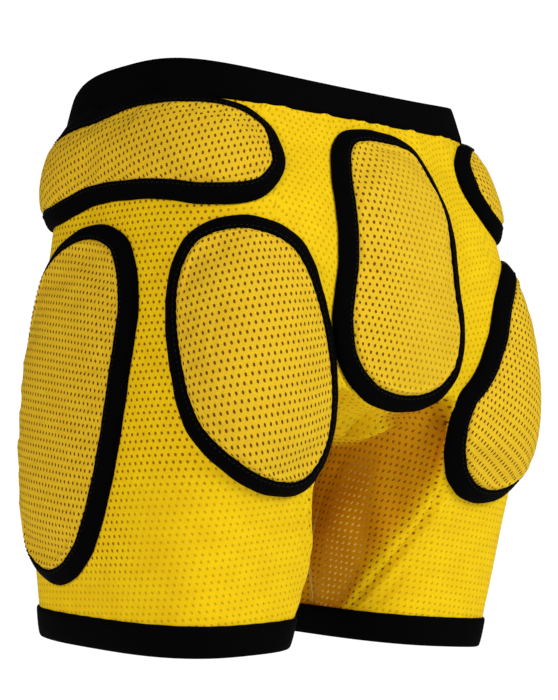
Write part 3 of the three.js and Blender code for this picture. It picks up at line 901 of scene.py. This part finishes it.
def plan_points(outline, narrowed):
    """The pad's plan: its edge loop, loops that follow it inwards, and an even lattice within."""
    share = rim_share(outline, narrowed)[:, None]
    loops = [even(inset(outline, d * share), PAD_SPACING) for d in COVER_LOOPS]
    low, high = outline.min(0), outline.max(0)
    rows = np.arange(low[1], high[1], PAD_SPACING * 0.87)
    lattice = []
    for i, y in enumerate(rows):
        x = np.arange(low[0] + (i % 2) * PAD_SPACING / 2, high[0], PAD_SPACING)
        lattice.append(np.stack([x, np.full_like(x, y)], -1))
    lattice = np.concatenate(lattice)
    lattice = lattice[distance_inside(lattice, outline) > LATTICE_START]
    return loops[0], np.concatenate(loops[1:] + [lattice])


def cover_height(distance, rise, crown):
    """Height of the cover: tucked under the binding, steep beside it, nearly flat at the crown."""
    tucked = np.interp(distance, [COVER_EDGE, 8.5, 10.3, 11.8, 13.0], [3.6, 5.4, 6.9, 7.9, 8.3])
    return tucked + (crown - 8.0) * fade(distance, 11.5, 15) * np.maximum(rise, 0) ** 0.6


def slope_lengths(plan, outline, distance, crown):
    """The plan let out beside the rim by the extra length of the cover's steep sides."""
    steps = np.linspace(COVER_EDGE, 26, 80)
    height = cover_height(steps, np.full_like(steps, 0.35), crown)
    extra = np.concatenate([[0], np.cumsum(np.hypot(np.diff(steps), np.diff(height)))])
    extra = (extra[-1] - extra) - (steps[-1] - steps)
    nearest = np.array([outline[np.argmin(np.sum((outline - p) ** 2, axis=1))] for p in plan])
    return plan + unit(nearest - plan) * np.interp(distance, steps, extra)[:, None]


def make_cushion(name, surface, outline, crown, mirrored, tilt, stretch, narrowed):
    edge, within = plan_points(outline, narrowed)
    count = len(edge)
    loop_edges = [(i, (i + 1) % count) for i in range(count)]
    flat = [Vector(p) for p in np.vstack([edge, within]).tolist()]
    points2, _, triangles, *_ = geometry.delaunay_2d_cdt(flat, loop_edges, [], 1, 0.01)
    plan = np.array([tuple(p) for p in points2])
    distance = distance_inside(plan, outline) / rim_share(plan, narrowed)
    rise = pillow(outline)(plan)
    top = surface(*plan.T, cover_height(distance, rise, crown))
    bottom = surface(*plan.T, 0.5)
    held = np.concatenate([np.interp(distance, [11.5, 16], [1, 0]), np.ones(len(plan))])
    offset = len(plan)
    faces, edges = [], []
    for a, b, c in triangles:
        faces += [(a, b, c), (offset + a, offset + c, offset + b)]
        edges += [(a, b), (b, c), (c, a)]
    shared = set(edges)
    faces += [(q, p, offset + p, offset + q) for p, q in edges if (q, p) not in shared]
    if surface is not worn:
        faces = flipped(faces)
    pattern = turned(slope_lengths(plan, outline, distance, crown), tilt) / stretch
    # Painted light fades the tailbone pad's holes towards the wearer's right.
    if surface is bridged:
        painted_light_fade = TAILBONE_PAINTED_LIGHT * fade(-plan[:, 0], *TAILBONE_PAINTED_LIGHT_FROM)
        pattern = np.column_stack([pattern, -painted_light_fade])
    cushion = make_mesh(f"{name}_cushion", np.vstack([top, bottom]), faces, PAD_CLOTH, mirrored,
                        np.vstack([pattern, pattern]))
    swell(cushion, tuple(outline[0]), held, mirrored)
    return cushion


CLOTH_FRAMES = 20
CLOTH_SETTINGS = dict(quality=6, mass=0.15, use_pressure=True, uniform_pressure_force=4,
                      vertex_group_mass="held", tension_stiffness=15, compression_stiffness=15,
                      shear_stiffness=6, bending_stiffness=0.05, shrink_min=-0.025)
SWELL_CAP = 2.0 * MM  # the furthest that the cloth may move a point
swollen = {}


def coordinates(mesh):
    flat = np.empty(len(mesh.vertices) * 3)
    mesh.vertices.foreach_get("co", flat)
    return flat.reshape(-1, 3)


def swell(cushion, kind, held, mirrored):
    """Lets the cover swell over the foam as cloth sewn down at the rim, then rounds the mesh. A
    right pad with the left one's outline takes its result, turned over."""
    mesh = cushion.data
    start = coordinates(mesh)
    side = RIGHT if mirrored else 1
    if kind not in swollen:
        swollen[kind] = (simulated(cushion, held) - start) * side
    moved = swollen[kind] * side
    far = np.linalg.norm(moved, axis=1, keepdims=True)
    moved = moved * np.minimum(1, SWELL_CAP / np.maximum(far, 1e-9))
    mesh.vertices.foreach_set("co", (start + moved).ravel())
    mesh.update()
    rounded = cushion.modifiers.new("rounded", "SUBSURF")
    rounded.levels = rounded.render_levels = 1
    seen = cushion.evaluated_get(bpy.context.evaluated_depsgraph_get())
    finer = bpy.data.meshes.new_from_object(seen)
    cushion.modifiers.clear()
    cushion.data = finer
    finer.shade_smooth()


def simulated(cushion, held):
    """The cover's points after the cloth has settled under pressure."""
    group = cushion.vertex_groups.new(name="held")
    for i, weight in enumerate(held):
        group.add([i], float(weight), "REPLACE")
    cloth = cushion.modifiers.new("cloth", "CLOTH")
    for setting, value in CLOTH_SETTINGS.items():
        setattr(cloth.settings, setting, value)
    cloth.settings.effector_weights.gravity = 0
    cloth.collision_settings.use_collision = False
    cloth.collision_settings.use_self_collision = False
    cloth.point_cache.frame_start = 1
    cloth.point_cache.frame_end = CLOTH_FRAMES
    for number in range(1, CLOTH_FRAMES + 1):
        bpy.context.scene.frame_set(number)
    seen = cushion.evaluated_get(bpy.context.evaluated_depsgraph_get())
    settled = seen.to_mesh()
    result = coordinates(settled).copy()
    seen.to_mesh_clear()
    cushion.modifiers.remove(cloth)
    cushion.vertex_groups.clear()
    bpy.context.scene.frame_set(1)
    return result


def reach_to_band(rim):
    """How far the binding's outer edge widens to run in under the waistband."""
    back, front = ends(np.full(len(rim), -25.0))
    share = (rim[:, 0] - back) / (front - back)
    gap = waist_edge(share) - waistband_height(share) + TUCK - rim[:, 1]
    slit = hump(rim[:, 0] + 8, 7) * (TUCK + 1.4)
    near = (1 - fade(gap, 14, 24)) * (1 - fade(rim[:, 0], 72, 96))
    return np.where(gap > 0, gap - slit, 0) * near


def make_rim(name, surface, outline, mirrored, narrowed):
    rim = even(outline, RIM_SPACING)
    travelled = np.arange(len(rim)) * RIM_SPACING
    reach = reach_to_band(rim) if narrowed else np.zeros(len(rim))
    width = rim_share(rim, narrowed)[:, None]
    turns = travelled * 2 * math.pi / (len(rim) * RIM_SPACING)
    uneven = 0.22 * np.sin(9 * turns + 1) + 0.16 * np.sin(23 * turns)
    loops = []
    last_two = len(BINDING_PROFILE) - 2
    for k, (d, h) in enumerate(BINDING_PROFILE):
        share = 1 if k >= last_two else TOE_SHARE[k] if k < len(TOE_SHARE) else 0
        moved = inset(rim, d * width) - (inset(rim, 1.0) - rim) * (reach * share + uneven)[:, None]
        loops.append(surface(*moved.T, h))
    loops = np.stack(loops, 1)
    pattern = np.stack(np.broadcast_arrays(BINDING_PROFILE[:, 0] * 1.2, travelled[:, None]), -1)
    faces = ring_faces(len(rim), len(BINDING_PROFILE))
    if surface is not worn:
        faces = flipped(faces)
    return make_mesh(f"{name}_rim", loops.reshape(-1, 3), faces, BINDING_KNIT, mirrored,
                     pattern.reshape(-1, 2))


STITCH_LENGTH = 2.6
STITCH_GAP = 1.5
STITCH_RADIUS = 0.42
STITCH_FLATNESS = 0.8
STITCH_SWELL = (0.25, 0.85, 1.0, 0.85, 0.25)
STITCH_RISE = (-0.2, 0.18, 0.25, 0.18, -0.2)
STITCH_CORNERS = 6


def stitch_row(name, centre_line, normals, mirrored):
    """Short raised stitches along a closed line of points."""
    closed, travelled = closed_lengths(centre_line)
    count = round(travelled[-1] / (STITCH_LENGTH + STITCH_GAP))
    pitch = travelled[-1] / count
    steps = np.linspace(0, STITCH_LENGTH / (STITCH_LENGTH + STITCH_GAP), len(STITCH_SWELL))
    closed_normals = np.vstack([normals, normals[:1]])
    angles = np.linspace(0, 2 * math.pi, STITCH_CORNERS, endpoint=False)
    ring = [(math.cos(a), math.sin(a)) for a in angles]

    def at(t, table):
        t = t % travelled[-1]
        return np.stack([np.interp(t, travelled, table[:, k]) for k in range(3)], -1)

    points, faces = [], []
    for i in range(count):
        spine, normal = (at((i + steps) * pitch, table) for table in (closed, closed_normals))
        side = np.cross(normal, unit(np.gradient(spine, axis=0)))
        index = np.arange(len(steps) * len(ring)).reshape(len(steps), -1) + len(points)
        for k, (swell, rise) in enumerate(zip(STITCH_SWELL, STITCH_RISE)):
            radius = STITCH_RADIUS * swell
            points += [spine[k] + normal[k] * (rise + up * radius * STITCH_FLATNESS)
                       + side[k] * across * radius for across, up in ring]
        faces += grid_faces(index, columns_meet=True, flip=True)
        faces += [tuple(reversed(index[0])), tuple(index[-1])]
    return make_mesh(name, np.array(points), faces, BLACK_THREAD, mirrored)


STITCHES_IN = 9.8
STITCHES_HEIGHT = 8.75


def pad_stitches(name, surface, outline, mirrored, narrowed):
    rim = even(outline, 2.0)
    rim = inset(rim, STITCHES_IN * rim_share(rim, narrowed)[:, None])
    line = surface(*rim.T, STITCHES_HEIGHT)
    base = surface(*rim.T, STITCHES_HEIGHT - 1)
    return stitch_row(f"{name}_stitches", line, line - base, mirrored)


# ---- Assembly ----


def follow_leg(piece, side):
    """Bakes the piece's placing into its mesh."""
    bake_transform(piece)


def ride_pelvis(piece):
    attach(piece, "pelvis")


def add_pad(name, surface, knots, place, crown, tilt, stretch=(1.0, 1.0), mirrored=False):
    """One pad: its cushion, binding and stitches. tilt turns the rows of holes, in degrees, and
    stretch widens and heightens their spacing."""
    outline = closed_curve(knots, 1.5)
    narrowed = knots is HIP_OUTLINE
    cushion = make_cushion(name, surface, outline, crown, mirrored, tilt, stretch, narrowed)
    rim = make_rim(name, surface, outline, mirrored, narrowed)
    stitches = pad_stitches(name, surface, outline, mirrored, narrowed)
    for piece in (cushion, rim, stitches):
        place(piece)
    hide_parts(f"{name}_pad_foam", f"{name}_pad_cover")
    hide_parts(f"{name}_pad_binding")


shells, shell_area, inseams = make_shells()
for (side, _), shell, seam in zip(SIDES, shells, inseams):
    for piece in (shell, seam):
        follow_leg(piece, side)
    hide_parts(f"{side}_seat_panel", f"{side}_flex_panel", f"{side}_leg_panel")

waistband = make_waistband()
ride_pelvis(waistband)
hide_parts("waistband_cover", "waistband_elastic")

for side, mirrored in SIDES:
    hem = make_hem(side, mirrored)
    follow_leg(hem, side)
    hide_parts(f"{side}_hem_band", f"{side}_hem_elastic")
    add_pad(f"{side}_hip", worn, HIP_OUTLINE, ride_pelvis, crown=12.5, tilt=16,
            mirrored=mirrored)
    add_pad(f"{side}_thigh", worn, THIGH_OUTLINE, partial(follow_leg, side=side), crown=13.5,
            tilt=-9.6, stretch=(1.0, 0.95), mirrored=mirrored)
    outline, tilt = (RIGHT_BUTTOCK_OUTLINE, 26) if mirrored else (BUTTOCK_OUTLINE, 13)
    add_pad(f"{side}_buttock", worn, outline, partial(follow_leg, side=side), crown=14.8,
            tilt=tilt, mirrored=mirrored)
add_pad("tailbone", bridged, TAILBONE_OUTLINE, ride_pelvis, crown=15.0, tilt=3.6,
        stretch=(1.4, 0.89))

# ---- Stage, light and camera ----

FLOOR_Z = -850
FLOOR_RADIUS = 2600
FLOOR_GLOW = 0.18
SKY_LIGHT = 0.19     # on the object
SKY_SEEN = 1.05      # behind it


def make_stage():
    around = np.linspace(0, 2 * math.pi, 96, endpoint=False)
    corners = [(FLOOR_RADIUS * math.cos(a), FLOOR_RADIUS * math.sin(a), FLOOR_Z) for a in around]
    paint = Nodes("floor_paint").shade(
        {"Base Color": (0.9, 0.9, 0.9, 1), "Roughness": 0.9, "Emission Color": (1, 1, 1, 1),
         "Emission Strength": FLOOR_GLOW})
    floor = make_mesh("floor", corners, [range(len(corners))], paint)


def make_world():
    world = bpy.data.worlds.new("studio")
    world.use_nodes = True
    tree = world.node_tree
    background = tree.nodes["Background"]
    background.inputs["Color"].default_value = (1, 1, 1, 1)
    path = tree.nodes.new("ShaderNodeLightPath")
    strength = tree.nodes.new("ShaderNodeMapRange")
    strength.inputs["To Min"].default_value = SKY_LIGHT
    strength.inputs["To Max"].default_value = SKY_SEEN
    tree.links.new(path.outputs["Is Camera Ray"], strength.inputs["Value"])
    tree.links.new(strength.outputs["Result"], background.inputs["Strength"])
    bpy.context.scene.world = world


LIT_MIDDLE = (0, 0, -0.2)


def make_light(name, place, size, power, colour):
    """A round soft light that faces the middle of the object."""
    light = bpy.data.lights.new(name, "AREA")
    light.shape = "DISK"
    light.size = size
    light.energy = power
    light.color = colour
    made = add_object(name, light)
    made.location = place
    made.rotation_euler = (Vector(LIT_MIDDLE) - Vector(place)).to_track_quat("-Z", "Y").to_euler()


# The camera stands behind the wearer's left, this far round from straight behind.
VIEW_TURN = math.radians(41.27)
VIEW_DISTANCE = 1.5754
VIEW_HEIGHT = -0.3365
VIEW_YAW = math.radians(0.26)
VIEW_PITCH = math.radians(5.53)
VIEW_LENS = 105.74


def make_camera():
    forward = Vector((-math.sin(VIEW_TURN), -math.cos(VIEW_TURN), 0))
    right = Vector((-math.cos(VIEW_TURN), math.sin(VIEW_TURN), 0))
    level = forward * math.cos(VIEW_YAW) + right * math.sin(VIEW_YAW)
    direction = level * math.cos(VIEW_PITCH) + Vector((0, 0, math.sin(VIEW_PITCH)))
    data = bpy.data.cameras.new("camera")
    data.lens = VIEW_LENS
    data.sensor_width = 36
    camera = add_object("camera", data)
    camera.location = from_camera(0, VIEW_DISTANCE, VIEW_HEIGHT)
    camera.rotation_euler = direction.to_track_quat("-Z", "Y").to_euler()
    bpy.context.scene.camera = camera


def from_camera(turn_right, distance, height):
    """A place seen from the object at an angle to the right of the camera."""
    a = VIEW_TURN - math.radians(turn_right)
    return (math.sin(a) * distance, math.cos(a) * distance, height)


make_stage()
make_world()
make_camera()
make_light("key", from_camera(60, 2.2, 0.9), size=1.1, power=42, colour=(1.0, 1.0, 0.97))
make_light("fill", from_camera(-32, 2.4, 0.35), size=1.0, power=25, colour=(1.0, 0.91, 0.87))
make_light("front", from_camera(180, 2.6, 0.7), size=1.4, power=34, colour=(1.0, 0.97, 0.94))
bpy.context.scene.view_settings.view_transform = "Standard"
